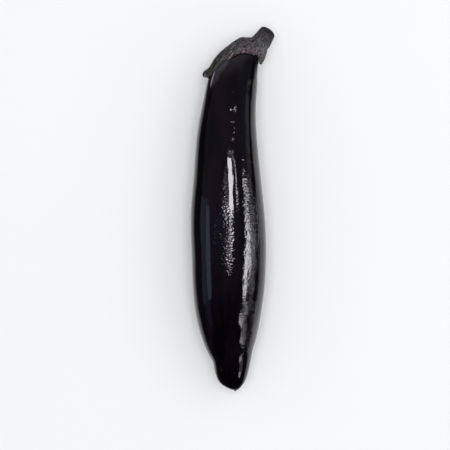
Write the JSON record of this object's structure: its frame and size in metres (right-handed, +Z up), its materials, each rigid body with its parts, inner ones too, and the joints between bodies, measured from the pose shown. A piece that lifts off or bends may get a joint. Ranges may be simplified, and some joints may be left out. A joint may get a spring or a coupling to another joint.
{
  "type": "eggplant",
  "caption": "Long, slightly bent eggplant with glossy, nearly black skin, a matt leafy calyx and a short cut stem, lying on its belly.",
  "frame": {"origin": "on the table under the middle of the object's box", "axes": "+Y along the fruit from the blossom end to the stem end, +Z up from the table the fruit lies on, +X to the side that the stem leans to"},
  "size_m": [0.058, 0.2512, 0.0522],
  "materials": {
    "skin": "very glossy waxy skin, nearly black with a faint purple tint",
    "calyx": "matt felted grey-brown leaf with pale specks and lengthwise fibres"
  },
  "bodies": {
    "root": {"fruit": "skin", "calyx_and_stem": "calyx"}
  },
  "joints": []
}
